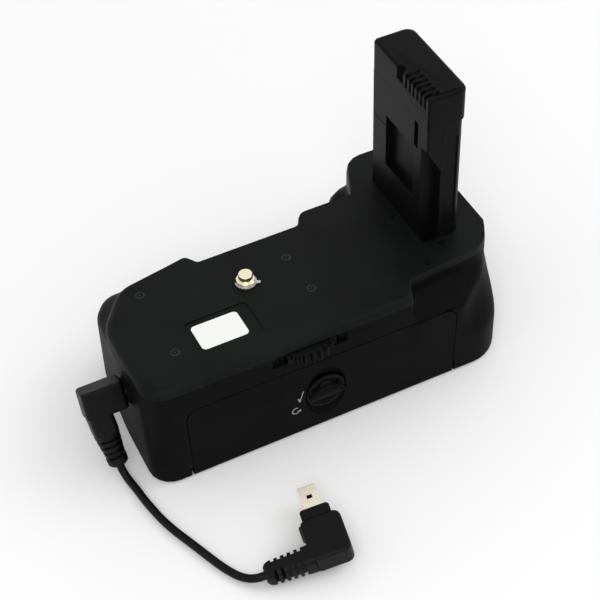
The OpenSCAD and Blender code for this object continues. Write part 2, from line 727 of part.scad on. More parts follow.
module insert_head() {
    proud = 0.7;
    color(satin_black) difference() {
        loft([for (h = [[0, 0], [head_h - 1, 0], [head_h - 0.35, 0.25], [head_h, 0.9]])
            lifted(ring([[insert_x + h[1], h[1] - insert_y], [insert_right + proud - h[1], h[1] - insert_y],
                [insert_right + proud - h[1], insert_far - h[1]], [insert_x + h[1], insert_far - h[1]]],
                [0.8, insert_round, insert_round, 1.4], 4), head_z + h[0])]);
        for (k = [0:5]) let (y = -insert_y + slot_first + k * slot_pitch)
            block(insert_x - over, insert_x + blade_deep, y, y + slot_w,
                insert_top - blade_deep, insert_top + over);
        rod([insert_x, -insert_y + slot_first + 6 * slot_pitch + 2.4], 2,
            insert_top - blade_deep, insert_top + over);
        block(insert_x + 2.6, insert_x + 10.6, -insert_y + 1.4, -insert_y + 1.9,
            insert_top - 0.5, insert_top + over);
    }
}

module insert_contacts() {
    blade = 0.5;
    color(gold) for (k = [0:5]) let (y = -insert_y + slot_first + k * slot_pitch + (slot_w - blade) / 2)
        block(insert_x + 1.2, insert_x + blade_deep, y, y + blade, insert_top - blade_deep, insert_top - 1);
}

module camera_screw() {
    top = plate_top + screw_up;
    step = plate_top + screw_up - tip_h;
    shank = screw_r - 0.2;
    color(nickel) rotate_extrude() polygon([[0, deck_z + 0.2], [journal_r, deck_z + 0.2],
        [journal_r, hub_z - 0.1], [shank, hub_z - 0.1], [shank, plate_top + 0.9],
        [screw_r, plate_top + 1.1], [screw_r, step - 0.3], [screw_r - 0.3, step], [tip_r, step],
        [tip_r, top - 0.4], [tip_r - 0.4, top], [0, top]]);
}

module screw_gear() {
    color(satin_black) difference() {
        union() {
            translate([0, 0, gear_z]) linear_extrude(gear_t)
                polygon(gear_points(gear_teeth, mesh_turn + 180));
            rod([0, 0], 6, hub_z, gear_z);
        }
        rod([0, 0], screw_r - 0.2 + slip, hub_z - over, plate_top);
    }
}

module screw_clip() {
    tab = 1.7;
    color(steel) difference() {
        union() {
            rod([0, 0], screw_r + 0.5, plate_top + 0.25, plate_top + 0.85);
            rotate([0, 0, -30])
                block(screw_r, screw_r + tab, -0.6, 0.6, plate_top + 0.25, plate_top + 0.85);
        }
        rod([0, 0], screw_r - 0.2 + slip, plate_top, plate_top + over);
        rotate([0, 0, 150]) block(0, screw_r + tab, -0.9, 0.9, plate_top, plate_top + over);
    }
}

module thumbwheel() {
    color(satin_black) translate([wheel_x, wheel_y, 0]) difference() {
        union() {
            translate([0, 0, gear_z]) linear_extrude(gear_t)
                polygon(gear_points(wheel_teeth, mesh_turn + 180 / wheel_teeth));
            rod([0, 0], 4, hub_z, gear_z);
        }
        rod([0, 0], axle_r + run, hub_z - over, plate_top);
        // Lightening ring under the rim
        translate([0, 0, gear_z - 0.01]) rotate_extrude() polygon([[5.2, 0], [9, 0], [9, 1.6], [5.2, 1.6]]);
    }
}

module wheel_axle() {
    color(steel) rod([wheel_x, wheel_y], axle_r, deck_z + 0.4, cover_z + 1.2);
}

module battery_door() {
    color(shell_black) difference() {
        union() {
            intersection() {
                housing_form();
                door_prism(0, -body_rear - over, door_in, -over);
            }
            rod_x(hinge_y, hinge_z, nose_r, door_left + door_taper, door_right - door_taper);
        }
        for (x = [door_left, door_right])
            rod_x(hinge_y, hinge_z, hinge_r + run, x - pin_half - 0.2, x + pin_half + 0.2);
        // Finger hollow, the knob's well and its shaft's bore
        translate([latch_x, -body_rear, latch_z]) rotate([90, 0, 0]) loft([for (h = dish_steps)
            lifted(dish_ring(h[1]), h[0])]);
        rod_y(latch_x, latch_z, knob_r + loose, -body_rear - over, well_floor);
        rod_y(latch_x, latch_z, knob_shaft_r + run, well_floor - over, 0);
    }
}

// The outline of the finger dish around the knob, drawn in by an inset
function dish_ring(inset) =
    let (w = knob_r + 0.6 - inset, h = dish_half - inset)
    [for (a = [0:360 / dish_sides:359]) [w * cos(a), h * sin(a)]];

module door_pads() {
    pad_t = bezel_y - door_in - loose;
    pad_w = pack_w * 0.27;
    pad_h = pack_h * 0.4;
    // The pads lie beside the tongue, towards the ends of the door
    color(foam_grey) for (side = [-1, 1]) let (x = door_x + side * (pack_w * 0.66 + divider / 2))
        block(x - pad_w / 2, x + pad_w / 2, door_in, door_in + pad_t,
            pack_z + wall, pack_z + wall + pad_h);
}

module hinge_pins() {
    color(steel) for (x = [door_left, door_right])
        rod_x(hinge_y, hinge_z, hinge_r, x - pin_half, x + pin_half);
}

module latch_knob() {
    face = -body_rear;
    disc = well_floor - run;
    color(satin_black) difference() {
        union() {
            translate([latch_x, disc, latch_z]) rotate([90, 0, 0]) rotate_extrude()
                polygon([[0, 0], [knob_r, 0], [knob_r, disc - face - 0.3], [knob_r - 0.3, disc - face],
                    [knob_r - 1, disc - face], [knob_r - 1.5, 0.7], [0, 0.7]]);
            rod_y(latch_x, latch_z, knob_shaft_r, disc - 0.2, cam_y);
            rod_y(latch_x, latch_z + bar_w * 0.7, 2.2, disc - 1.5, disc - 0.3);
            translate([latch_x, disc, latch_z]) rotate([90, 0, 0]) finger_bar(disc - face + bar_h);
        }
        rod_y(latch_x, latch_z, latch_screw_r + slip, disc - 1, 0);
        rod_y(latch_x + knob_r - 1.9, latch_z, 0.5, face - bar_h - over, face - bar_h + 0.4);
    }
}

// The bar that the fingers turn: narrower and rounded at its top
module finger_bar(height) {
    half = knob_r - 0.35;
    loft([for (h = [[0, 0], [height - 0.8, 0.35], [height - 0.25, 0.6], [height, 1.1]])
        lifted(box_ring(-half + h[1], half - h[1], -bar_w / 2 + h[1], bar_w / 2 - h[1],
            bar_w / 2 - h[1] - 0.1, 4), h[0])]);
}

module latch_cam() {
    color(steel) difference() {
        translate([latch_x, cam_y + cam_t, latch_z]) rotate([90, 0, 0]) linear_extrude(cam_t)
            polygon(ring([[-cam_reach, -cam_w / 2], [cam_w / 2 + 1, -cam_w / 2],
                [cam_w / 2 + 1, cam_w / 2], [-cam_reach, cam_w / 2]], [1, 2.2, 2.2, 1], 4));
        latch_screw_frame() flat_screw_hole(1.9, 0.9, latch_screw_r, cam_t + over);
    }
}

// Move to the latch screw's head, which points to the rear
module latch_screw_frame() {
    translate([latch_x, cam_y + cam_t, latch_z]) rotate([-90, 0, 0]) children();
}

module latch_screw() {
    color(steel) latch_screw_frame()
        cross_screw(1.9, 0.9, latch_screw_r, cam_t + cam_y - well_floor + 0.6);
}

module battery_bay() {
    color(satin_black) difference() {
        union() {
            block(bay_left, bay_right, bezel_y, bay_end, bay_bottom, bay_top);
            block(bezel_left, bay_limit - 0.6, bezel_y, bezel_y + bezel_t,
                hinge_z + nose_r + 1, deck_z - loose);
        }
        for (side = [-1, 1]) let (x = door_x + side * (pack_w + divider) / 2) {
            block(x - pack_w / 2, x + pack_w / 2, bezel_y - over, bay_back, pack_z, pack_z + pack_h);
            for (k = [-1:1]) let (at = x + k * contact_pitch, half = contact_w / 2 + loose)
                block(at - half, at + half, bay_back - over, bay_end + over, contact_z - loose,
                    contact_z + contact_h + loose);
            // Finger notch and openings in the floor
            block(x - 8, x + 8, bezel_y - over, bezel_y + 7, bay_bottom - over, pack_z + 1);
        }
    }
}

module bay_contacts() {
    low = contact_z;
    high = contact_z + contact_h;
    mid = (low + high) / 2;
    tip = bay_back - contact_up;
    color(gold) for (side = [-1, 1], k = [-1:1])
        let (x = door_x + side * (pack_w + divider) / 2 + k * contact_pitch)
        translate([x - contact_w / 2, 0, 0]) rotate([90, 0, 90]) linear_extrude(contact_w)
            polygon([[bay_end, low], [bay_back - leaf / 2, low], [tip, mid - leaf], [tip, mid + leaf],
                [bay_back - leaf / 2, high], [bay_end, high], [bay_end, high - leaf], [bay_back, high - leaf],
                [tip + leaf, mid + leaf / 2], [tip + leaf, mid - leaf / 2], [bay_back, low + leaf],
                [bay_end, low + leaf]]);
}

module contact_board() {
    color(board_green)
        block(bay_left + 4, bay_right - 4, bay_end, bay_end + board_t, pack_z + 1, bay_top - 1);
}

module shutter_button() {
    cap_low = -1.4;
    dome = 0.9;
    color(satin_black) button_frame() rotate_extrude() polygon(concat(
        [[0, -button_stem], [button_stem_r, -button_stem],
            [button_stem_r, -collar_deep - button_travel - 0.2],
            [button_r + 0.6, -collar_deep - button_travel - 0.2], [button_r + 0.6, -collar_deep - run],
            [button_r - run, -collar_deep - run], [button_r - run, 0.4]],
        [for (a = [15:15:90]) [(button_r - run) * cos(a), 0.4 + dome * sin(a)]]));
}

module shutter_collar() {
    color(shell_black) button_frame() rotate_extrude() polygon([[button_r, -collar_deep],
        [collar_out, -collar_deep], [collar_out, 0.1], [collar_out - 0.5, 0.5],
        [button_r + 0.5, 0.5], [button_r, 0.1]]);
}

module shutter_switch() {
    low = -button_boss;
    color(foam_grey) button_frame() {
        translate([-switch_half, -switch_half, low]) cube([2 * switch_half, 2 * switch_half, switch_t]);
        translate([0, 0, low + switch_t - 0.01])
            cylinder(r = 1.6, h = button_boss - switch_t - button_stem - button_travel - 0.1);
    }
}

module switch_board() {
    color(board_green) button_frame() translate([0, 0, -button_boss - board_t - slip])
        translate([-collar_out, -collar_out, 0]) cube([2 * collar_out, 2 * collar_out, board_t]);
}

module tripod_bush() {
    color(gold) rotate_extrude() polygon([[bush_bore, 0], [bush_flange_r, 0],
        [bush_flange_r, bush_flange_t], [bush_r, bush_flange_t], [bush_r, bush_top], [0, bush_top],
        [0, bush_depth], [bush_bore, bush_depth]]);
}

module jack_socket() {
    color(satin_black) difference() {
        union() {
            rod_x(-jack_y, jack_z, jack_r, jack_x, jack_in + 0.5);
            rod_x(-jack_y, jack_z, jack_r + 0.8, jack_x - 0.4, jack_x + jack_seat - 0.01);
            block(jack_in, jack_x + jack_deep, -jack_y - jack_half, -jack_y + jack_half,
                jack_z - jack_half, deck_z - 0.2);
        }
        rod_x(-jack_y, jack_z, jack_bore, jack_x - over, jack_x + jack_deep - 1.5);
    }
}

// Move to the jack's axis, with X along it and Z tilted as the plug's arm is
module jack_frame() {
    translate([jack_x, -jack_y, jack_z]) rotate([-arm_tilt, 0, 0]) children();
}

module jack_plug() {
    ribs = [11.4, 20.4];
    step = (ribs[1] - ribs[0]) / rib_count;
    color(satin_black) jack_frame() difference() {
        union() {
            soft_box(-arm_x - arm_w / 2, -plug_face, -4.2, 4.2, -4.6, 5.4, 1.6, 1);
            translate([-arm_x, 0, 0]) rotate([0, -arm_lean, 0]) {
                soft_box(-arm_w / 2, arm_w / 2, -4, 4, -ribs[0], 2, 2.2, 0.8);
                rotate([180, 0, 0]) rotate_extrude() polygon(concat(
                    [[0, ribs[0] - 2], [3.9, ribs[0] - 2]],
                    [for (k = [0:rib_count - 1]) let (z = ribs[0] + k * step, r = 4.3 - 0.26 * k)
                        each [[r, z - 0.1], [r - 0.1, z + 0.5 * step], [r - 1, z + 0.55 * step],
                            [r - 1, z + 0.95 * step]]],
                    [[3.5, ribs[1]], [3.4, arm_end - 0.5], [2.9, arm_end], [cord_hole, arm_end],
                        [cord_hole, arm_end - cord_in], [0, arm_end - cord_in]]));
            }
        }
        rotate([0, 90, 0]) cylinder(r = jack_bore - 0.3 + slip, h = 12, center = true);
    }
}

module jack_pin() {
    color(nickel) jack_frame() rotate([0, 90, 0]) translate([0, 0, -6])
        cylinder(r = jack_bore - 0.3, h = 6 + jack_deep - 2.5);
}

module cord() {
    sides = sides_along(cord_route);
    color(satin_black) loft([for (i = [len(cord_route) - 1:-1:0])
        tube_ring(cord_route[i], sides[i], tangent(cord_route, i), cord_d / 2, cord_sides)]);
}

// Move to the camera plug, with X along its sleeve from the cord and Y towards its tip
module plug_frame() {
    translate(plug_at) rotate([0, -plug_roll, plug_turn]) children();
}

plug_body = [15, 28.3, -3.7, 12.2];
plug_neck = [16.2, 26, 16.2];
plug_thick = 8;
shell_half = 3;
shell_h = 3.2;
shell_z = 4.2;
shell_tip = 25.6;
shell_x = 21;

module camera_plug() {
    sleeve = [7, 7];
    color(satin_black) plug_frame() difference() {
        union() {
            soft_box(plug_body[0], plug_body[1], plug_body[2], plug_body[3], 0.2, plug_thick, 2.4, 1);
            soft_box(plug_neck[0], plug_neck[1], plug_body[3] - 4, plug_neck[2],
                0.8, plug_thick - 0.6, 1.2, 0.6);
            soft_box(plug_body[0] - 0.6, plug_body[0] + 3, 7.4, 11.2, 1.4, plug_thick - 1.4, 0.8, 0.6);
            loft([for (h = [[0, 1.2], [0.8, 0.5], [2, 0.2], [plug_body[0] + 1, -0.3]])
                let (w = sleeve[0] / 2 - h[1], t = sleeve[1] / 2 - h[1])
                [for (p = box_ring(-w, w, -t, t, 1.8, 3)) [h[0], p[0], plug_z + p[1]]]]);
        }
        // Slots that let the sleeve bend
        for (k = [0:4], side = [-1, 1]) translate([3.4 + k * 2.2, side * 4, plug_z])
            cube([1.1, 4.6, sleeve[1] + 2], center = true);
        translate([-over, 0, plug_z]) rotate([0, 90, 0]) cylinder(r = cord_hole, h = over + cord_in);
        shell_hole();
    }
}

module shell_hole() {
    block(shell_x - shell_half, shell_x + shell_half, plug_neck[2] - 3, plug_neck[2] + over,
        shell_z - shell_h / 2, shell_z + shell_h / 2);
}

module camera_plug_shell() {
    skin = 0.35;
    color(gold) plug_frame() difference() {
        block(shell_x - shell_half + slip, shell_x + shell_half - slip, plug_neck[2] - 3 + slip, shell_tip,
            shell_z - shell_h / 2 + slip, shell_z + shell_h / 2 - slip);
        block(shell_x - shell_half + skin, shell_x + shell_half - skin, plug_neck[2] - 2, shell_tip + over,
            shell_z - shell_h / 2 + skin, shell_z + shell_h / 2 - skin);
        block(shell_x - 0.9, shell_x + 0.9, shell_tip - 5.2, shell_tip - 3.8, shell_z, shell_z + shell_h);
    }
}

module camera_plug_tongue() {
    color(satin_black) plug_frame()
        block(shell_x - shell_half + 1, shell_x + shell_half - 1, plug_neck[2] - 2, shell_tip - 0.8,
            shell_z - 0.5, shell_z + 0.5);
}

main_housing();
inner_deck();
top_cover();
base_cover();
cover_screws();
base_screws();
insert_stem();
insert_cover();
insert_head();
insert_contacts();
camera_screw();
screw_gear();
screw_clip();
thumbwheel();
wheel_axle();
battery_door();
door_pads();
hinge_pins();
latch_knob();
latch_cam();
latch_screw();
battery_bay();
bay_contacts();
contact_board();
shutter_button();
shutter_collar();
shutter_switch();
switch_board();
tripod_bush();
jack_socket();
jack_plug();
jack_pin();
cord();
camera_plug();
camera_plug_shell();
camera_plug_tongue();
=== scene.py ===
"""Looks of a camera battery grip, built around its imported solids.

Named sizes are in millimetres unless a comment says otherwise. Blender's own units are metres.
"""

import json
import math

import bmesh
import bpy
from bpy.props import FloatProperty, PointerProperty, StringProperty
from mathutils import Matrix, Vector


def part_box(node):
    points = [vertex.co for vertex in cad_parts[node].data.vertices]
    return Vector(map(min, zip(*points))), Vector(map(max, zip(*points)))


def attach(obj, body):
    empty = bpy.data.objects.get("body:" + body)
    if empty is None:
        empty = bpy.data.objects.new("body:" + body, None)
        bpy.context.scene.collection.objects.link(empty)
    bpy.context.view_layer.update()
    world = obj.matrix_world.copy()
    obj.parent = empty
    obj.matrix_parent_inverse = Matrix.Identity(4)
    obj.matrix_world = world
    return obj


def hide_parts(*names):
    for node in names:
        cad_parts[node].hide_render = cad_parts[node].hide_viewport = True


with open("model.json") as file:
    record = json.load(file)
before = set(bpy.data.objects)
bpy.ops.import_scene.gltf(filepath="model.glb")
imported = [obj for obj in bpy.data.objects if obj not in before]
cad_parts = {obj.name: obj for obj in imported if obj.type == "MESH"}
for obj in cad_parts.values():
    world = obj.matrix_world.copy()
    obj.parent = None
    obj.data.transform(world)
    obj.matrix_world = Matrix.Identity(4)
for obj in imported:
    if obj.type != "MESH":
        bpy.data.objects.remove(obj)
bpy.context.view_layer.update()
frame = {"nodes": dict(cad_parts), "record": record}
nodes = frame["nodes"]

bl_info = {
    "name": "Camera battery grip",
    "version": (1, 0, 0),
    "blender": (4, 5, 0),
    "location": "View3D > Sidebar > Battery grip",
    "description": "Dresses the solids of a camera battery grip",
    "category": "Object",
}

MM = 0.001
WHITE = (1, 1, 1, 1)

# Where the photograph was taken from, and its directions in the object's frame
CAMERA_AT = (-146.5, -350.6, 426.4)
CAMERA_RIGHT = (0.8928, -0.4498, -0.0239)
CAMERA_UP = (0.3384, 0.6345, 0.6950)
CAMERA_BACK = (-0.2975, -0.6285, 0.7187)
LENS_MM = 98.5
SENSOR_MM = 36.0

# The studio, in metres: the camera's reach, each lamp's place and size, what they aim at, and the table
CLIP_NEAR = 0.01
CLIP_FAR = 20.0
KEY_LAMP = ("key_lamp", (-0.55, -0.95, 1.35), 0.9)
FILL_LAMP = ("fill_lamp", (0.95, -0.2, 1.1), 0.8)
LAMP_AIM = (0.02, 0, 0.04)
TABLE_HALF = 3.0
TABLE_LEVEL = -0.0003

# The lead's route, the same as in the part's source, and the steps between two of its points
CORD_ROUTE = [
    (-57.81, -20.27, 6.27), (-57.6, -21.15, 4.55), (-57.25, -22.7, 2.7), (-56.9, -24.7, 1.7),
    (-56.5, -27, 1.35), (-56.1, -29.5, 1.35), (-55.75, -32.2, 1.35), (-55.3, -35.8, 1.35),
    (-54.6, -39.8, 1.35), (-53.8, -43.8, 1.35), (-52.7, -47.9, 1.35), (-51.2, -52.4, 1.35),
    (-49.4, -57, 1.35), (-47.7, -61.4, 1.35), (-46.1, -65.6, 1.35), (-44.5, -69.6, 1.35),
    (-42.8, -73.3, 1.4), (-40.9, -76.6, 1.65), (-38.8, -79.1, 2.2), (-36.6, -80.65, 2.9),
    (-34.9, -81.2, 3.4), (-33.33, -81.45, 3.68),
]
CORD_STEPS = 4

# Merged copies of the solids: distances, and angles in degrees
MERGE = 0.002
SLIVER = 0.001
FLAT_DEG = 0.2
EDGE_DEG = 50
EDGE_SEGMENTS = 2
NORMAL_WEIGHT = 80
NEAR = 0.005

# Mouldings with a smooth skin: the angle in degrees above which an edge stays sharp, and the width
# by which the edges are eased
SKINS = {
    "main_housing": (32, 0), "top_cover": (32, 0), "battery_door": (32, 0), "base_cover": (30, 0),
    "insert_stem": (32, 0.15), "insert_cover": (32, 0.15), "insert_head": (40, 0), "latch_knob": (40, 0),
    "thumbwheel": (30, 0), "shutter_button": (40, 0), "shutter_collar": (40, 0), "jack_plug": (45, 0),
    "camera_plug": (45, 0), "battery_bay": (30, 0), "jack_socket": (40, 0),
}
SCREW_SHARP_DEG = 35
# Pieces that keep their own mesh
PAINTED_MOULDINGS = ("inner_deck", "screw_gear", "shutter_switch", "camera_plug_tongue", "contact_board",
                     "switch_board")
PAINTED_METAL = ("jack_pin", "screw_clip", "wheel_axle", "hinge_pins", "latch_cam", "latch_screw",
                 "insert_contacts", "bay_contacts", "tripod_bush", "camera_plug_shell")

# The camera screw's thread: its span above the plate, its crest and depth, and its mesh
THREAD_FROM = 1.1
THREAD_TO = 2.1
THREAD_CREST = 3.21
THREAD_DEPTH = 0.2
THREAD_AROUND = 40
THREAD_ROWS = 24
# The ridge runs in and out over one part in this many of its span
THREAD_FADE = 6
THREAD_SHARP_DEG = 40

# The small screws: radius of the head and of the shank, and whether the head faces up
SCREWS = {"cover_screws": (1.7, 0.9, True), "base_screws": (1.9, 1.0, False)}
SCREW_HEAD_DEPTH = 0.95
SCREW_RECESS = 0.46
HEAD_SIDES = 32
SHANK_SIDES = 16
# Length of the cross recess as a share of the head's radius
WING_SHARE = 1.25

# Foam pads: sections counted from the door's side and from the free side, each with its inset
PAD_WIDTH = 10
PAD_ROUND = 0.9
PAD_STEPS = 4
PAD_FOOT = ((0, 0.15), (0.4, 0.0))
PAD_FACE = ((0.5, 0.05), (0.15, 0.4), (0, 1.0))

# The label: its near left corner, the floor of its recess, and its sections with their insets
LABEL_AT = (-24.6, -20.5)
LABEL_FLOOR = 42.6
LABEL_ROUND = 1.5
LABEL_STEPS = 8
LABEL_ROWS = ((0.01, 0.0), (0.1, 0.0), (0.14, 0.06))

# The printed marks on the door's face: how far they stand out and how thick they are
DOOR_FACE = -33.0
PRINT_PROUD = 0.03
PRINT_THICK = 0.028
# A tapered stroke with a short hook at its foot
TICK = [(4.1, 20.2), (2.75, 15.7), (2.4, 15.5), (1.75, 17.3), (2.05, 17.5), (2.6, 16.6), (3.75, 20.25)]
# An open ring with an arrow's head; its ends are in degrees
RING_AT = (1.0, 11.9)
RING_RADIUS = 1.5
RING_WIDTH = 0.42
RING_FROM = 60
RING_TO = 330
RING_STEPS = 20
ARROW_HALF = 0.75
ARROW_TIP = (0.75, 0.55)


def linear(hex_value):
    """An sRGB hex colour as linear red, green, blue and alpha."""
    parts = [int(hex_value[i : i + 2], 16) / 255 for i in (1, 3, 5)]
    return tuple(c / 12.92 if c <= 0.04045 else ((c + 0.055) / 1.055) ** 2.4 for c in parts) + (1.0,)


def node(tree, kind, settings=None, values=None, links=None):
    """Adds a node, sets its settings and socket values, and links sockets of other nodes into it."""
    made = tree.nodes.new(kind)
    for key, value in (settings or {}).items():
        setattr(made, key, value)
    for key, value in (values or {}).items():
        made.inputs[key].default_value = value
    for key, source in (links or {}).items():
        tree.links.new(source, made.inputs[key])
    return made


def new_material(name, colour, roughness, metallic=0.0, ior=1.5, specular=0.5):
    """A material with its shader's constant values set, and the tree, shader and object coordinates."""
    material = bpy.data.materials.new(name)
    material.use_nodes = True
    tree = material.node_tree
    shader = tree.nodes["Principled BSDF"]
    shader.inputs["Base Color"].default_value = linear(colour)
    shader.inputs["Roughness"].default_value = roughness
    shader.inputs["Metallic"].default_value = metallic
    if not metallic:
        shader.inputs["IOR"].default_value = ior
    shader.inputs["Specular IOR Level"].default_value = specular
    place = node(tree, "ShaderNodeTexCoord").outputs["Object"]
    return material, tree, shader, place


def per_mm(count):
    """A texture scale that gives that many features in a millimetre."""
    return count / MM


def noise(tree, place, feature_mm, detail):
    """Noise with features of a size in millimetres."""
    return node(tree, "ShaderNodeTexNoise", values={"Scale": per_mm(1 / feature_mm), "Detail": detail},
                links={"Vector": place})


def tinted(tree, shader, source, dark, light, low=0.35, high=0.65):
    """Colour between two hex values, by a pattern."""
    ramp = node(tree, "ShaderNodeValToRGB", links={"Fac": source})
    ramp.color_ramp.elements[0].position = low
    ramp.color_ramp.elements[0].color = linear(dark)
    ramp.color_ramp.elements[1].position = high
    ramp.color_ramp.elements[1].color = linear(light)
    tree.links.new(ramp.outputs["Color"], shader.inputs["Base Color"])


def rough_between(tree, shader, source, low, high):
    """Roughness between two values, by a pattern."""
    spread = node(tree, "ShaderNodeMapRange", values={"To Min": low, "To Max": high}, links={"Value": source})
    tree.links.new(spread.outputs["Result"], shader.inputs["Roughness"])


def bumped(tree, shader, source, strength, depth_mm):
    """Relief of a depth in millimetres, by a pattern."""
    bump = node(tree, "ShaderNodeBump", values={"Strength": strength, "Distance": depth_mm * MM},
                links={"Height": source})
    tree.links.new(bump.outputs["Normal"], shader.inputs["Normal"])


def spark_eroded_abs(name, dark, light, roughness, grain_mm, depth_mm, specular):
    """Black ABS from a spark-eroded mould: a fine pebble that breaks up and dulls the highlights."""
    material, tree, shader, place = new_material(name, dark, roughness, ior=1.53, specular=specular)
    # The real pebble is near 0.1 mm; it is drawn coarser so that it shows at this size
    pebble = noise(tree, place, grain_mm, 4.0)
    pebble.inputs["Roughness"].default_value = 0.6
    cells = node(tree, "ShaderNodeTexVoronoi", values={"Scale": per_mm(0.8 / grain_mm)},
                 links={"Vector": place})
    height = node(tree, "ShaderNodeMath", {"operation": "ADD"},
                  links={0: pebble.outputs["Fac"], 1: cells.outputs["Distance"]}).outputs["Value"]
    bumped(tree, shader, height, 0.5, depth_mm)
    # Handling leaves faint patches some centimetres across
    patch = noise(tree, place, 22, 3.0).outputs["Fac"]
    rough_between(tree, shader, patch, roughness - 0.06, roughness + 0.07)
    tinted(tree, shader, patch, dark, light)
    return material


def plain_pattern(name, dark, light, roughness, feature_mm, depth_mm, metallic=0.0, strength=0.3,
                  spread=0.05, specular=0.5):
    """A finish whose colour, gloss and relief follow one fine noise."""
    material, tree, shader, place = new_material(name, light, roughness, metallic, specular=specular)
    grain = noise(tree, place, feature_mm, 3.0).outputs["Fac"]
    tinted(tree, shader, grain, dark, light)
    rough_between(tree, shader, grain, max(roughness - spread, 0.02), roughness + spread)
    bumped(tree, shader, grain, strength, depth_mm)
    return material


def make_materials(look):
    """Every finish of the grip, by the name that the pieces use."""
    made = {}
    # Moulded ABS of the shell: a soft, broken sheen on near black
    made["shell_abs"] = spark_eroded_abs(
        "Spark-eroded ABS", look.shell_dark, look.shell_light,
        roughness=0.5, grain_mm=0.32, depth_mm=0.03, specular=0.03)
    # The plate under the camera has a finer, slightly shinier texture
    made["plate_abs"] = spark_eroded_abs(
        "Fine-grained ABS", look.plate_dark, look.plate_light,
        roughness=0.48, grain_mm=0.26, depth_mm=0.02, specular=0.07)
    # Smooth mouldings: the dummy pack, the wheel, the knob
    made["smooth_abs"] = spark_eroded_abs(
        "Satin ABS", look.smooth_dark, look.smooth_light,
        roughness=0.4, grain_mm=0.5, depth_mm=0.008, specular=0.05)
    # Plasticised PVC over the lead and its plugs: a little soft, with a waxy sheen
    made["soft_pvc"] = plain_pattern(
        "Moulded soft PVC", "#080808", "#0d0d0d",
        roughness=0.42, feature_mm=0.5, depth_mm=0.01, specular=0.12)
    # Turned brass, nickel plated: pale and warm, with fine tool marks around the axis
    material, tree, shader, place = new_material("Nickel-plated brass", look.nickel, 0.24, metallic=1.0)
    marks = node(tree, "ShaderNodeTexWave", {"bands_direction": "Z"},
                 {"Scale": per_mm(1.2), "Distortion": 0.8, "Detail": 2.0}, {"Vector": place}).outputs["Fac"]
    rough_between(tree, shader, marks, 0.18, 0.32)
    bumped(tree, shader, marks, strength=0.15, depth_mm=0.01)
    made["nickel"] = material
    # Flash gold on stamped bronze: soft rolling marks
    made["gold"] = plain_pattern(
        "Flash-gold bronze", "#b89a55", "#d9c58c",
        roughness=0.28, feature_mm=0.35, depth_mm=0.006, metallic=1.0, strength=0.2)
    # Drawn steel, nickel plated: pale and slightly warm
    made["plug_metal"] = plain_pattern(
        "Nickel-plated steel shell", "#e2dac2", "#f2ecdb",
        roughness=0.26, feature_mm=0.4, depth_mm=0.006, metallic=1.0, strength=0.2)
    # Zinc-plated steel: pale, with a rolled grain
    made["steel"] = plain_pattern(
        "Zinc-plated steel", "#a9acb0", "#c9cbce",
        roughness=0.32, feature_mm=0.3, depth_mm=0.006, metallic=1.0, strength=0.25, spread=0.08)
    # Blackened steel of the small screws
    made["black_steel"] = plain_pattern(
        "Blackened steel", "#101012", "#1d1d20",
        roughness=0.36, feature_mm=0.2, depth_mm=0.006, metallic=0.6, strength=0.25, spread=0.08)
    # Closed-cell foam: matt, with open bubbles at the cut face
    made["foam"] = plain_pattern(
        "Closed-cell foam", "#17171a", "#2c2c30",
        roughness=0.9, feature_mm=0.6, depth_mm=0.08, strength=0.9, spread=0.04)
    # Glass-epoxy circuit board under green solder resist
    made["board"] = plain_pattern(
        "Glass-epoxy board", "#123524", "#1b4a32",
        roughness=0.32, feature_mm=0.5, depth_mm=0.01)
    # Coated label paper: nearly white, with a faint fibre
    made["label"] = plain_pattern(
        "Coated label paper", "#e9eae8", "#f4f5f3",
        roughness=0.45, feature_mm=0.25, depth_mm=0.004, strength=0.2)
    # Pad-printed ink: pale grey, thin enough for the black to show through
    made["ink"] = plain_pattern(
        "Pad-printed ink", "#7d7f82", "#9a9c9f",
        roughness=0.55, feature_mm=0.3, depth_mm=0.004, strength=0.2)
    return made


NODE_FINISH = {
    "main_housing": "shell_abs", "battery_door": "shell_abs", "base_cover": "shell_abs",
    "shutter_collar": "shell_abs", "top_cover": "plate_abs", "inner_deck": "smooth_abs",
    "insert_stem": "smooth_abs", "insert_cover": "smooth_abs", "insert_head": "smooth_abs",
    "thumbwheel": "smooth_abs", "screw_gear": "smooth_abs", "latch_knob": "smooth_abs",
    "battery_bay": "smooth_abs", "shutter_button": "smooth_abs", "jack_socket": "smooth_abs",
    "shutter_switch": "smooth_abs", "camera_screw": "nickel", "jack_pin": "nickel",
    "screw_clip": "steel", "wheel_axle": "steel", "hinge_pins": "steel", "latch_cam": "steel",
    "latch_screw": "steel", "insert_contacts": "gold", "bay_contacts": "gold", "tripod_bush": "gold",
    "camera_plug_shell": "plug_metal", "contact_board": "board", "switch_board": "board",
    "jack_plug": "soft_pvc", "camera_plug": "soft_pvc", "camera_plug_tongue": "soft_pvc",
}
MATERIALS = {}


def body_of(node_name):
    """The moving body that a CAD node belongs to."""
    return next(b for b, members in frame["record"]["behaviour"]["bodies"].items() if node_name in members)


def add_piece(name, mesh, finish, like, replaced=()):
    """Links a finished mesh as a piece that rides with the body of the node that it is like."""
    piece = bpy.data.objects.new(name, mesh)
    bpy.context.scene.collection.objects.link(piece)
    mesh.materials.clear()
    mesh.materials.append(MATERIALS[finish])
    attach(piece, body_of(like))
    if replaced:
        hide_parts(*replaced)
    return piece


def paint(node_name):
    """Gives a CAD node its finish."""
    mesh = nodes[node_name].data
    mesh.materials.clear()
    mesh.materials.append(MATERIALS[NODE_FINISH[node_name]])


